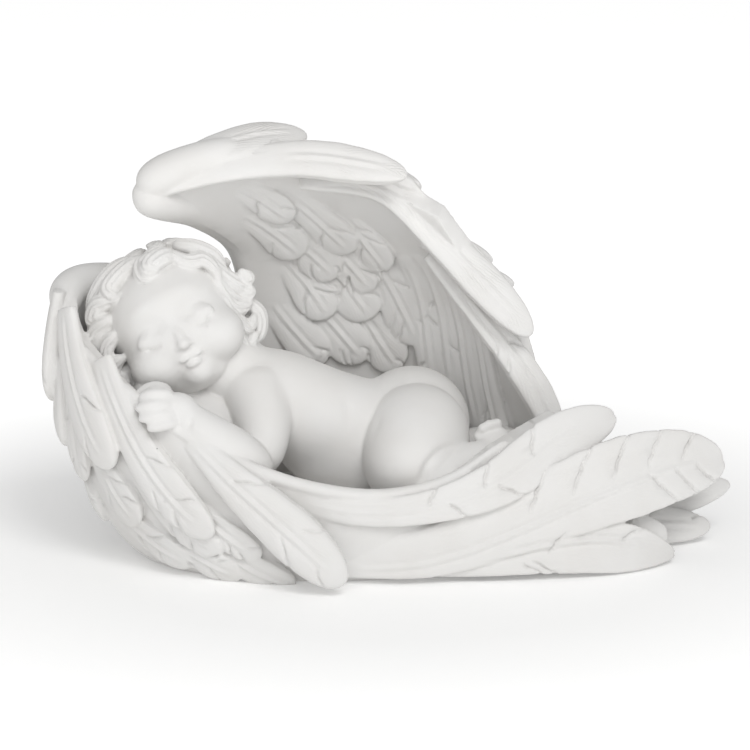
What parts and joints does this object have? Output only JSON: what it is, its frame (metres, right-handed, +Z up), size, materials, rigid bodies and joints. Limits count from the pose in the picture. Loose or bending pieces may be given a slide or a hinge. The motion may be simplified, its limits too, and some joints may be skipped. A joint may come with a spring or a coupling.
{
  "type": "plaster cherub figurine",
  "caption": "Plaster cherub asleep on its front, head on its hands, in two feathered wings: one is the cradle, the other curls over it. One flat-based casting.",
  "frame": {"origin": "on the flat underside, below the middle of the casting's box", "axes": "+X along the casting towards the feather tips at the feet, +Y towards the back of the upright wing, +Z up"},
  "size_m": [0.2416, 0.115, 0.1479],
  "materials": {
    "plaster": "matt white cast plaster, fine pores and a soft tooled grain"
  },
  "bodies": {
    "root": {"sleeping_cherub_in_wings": "plaster"}
  },
  "joints": []
}
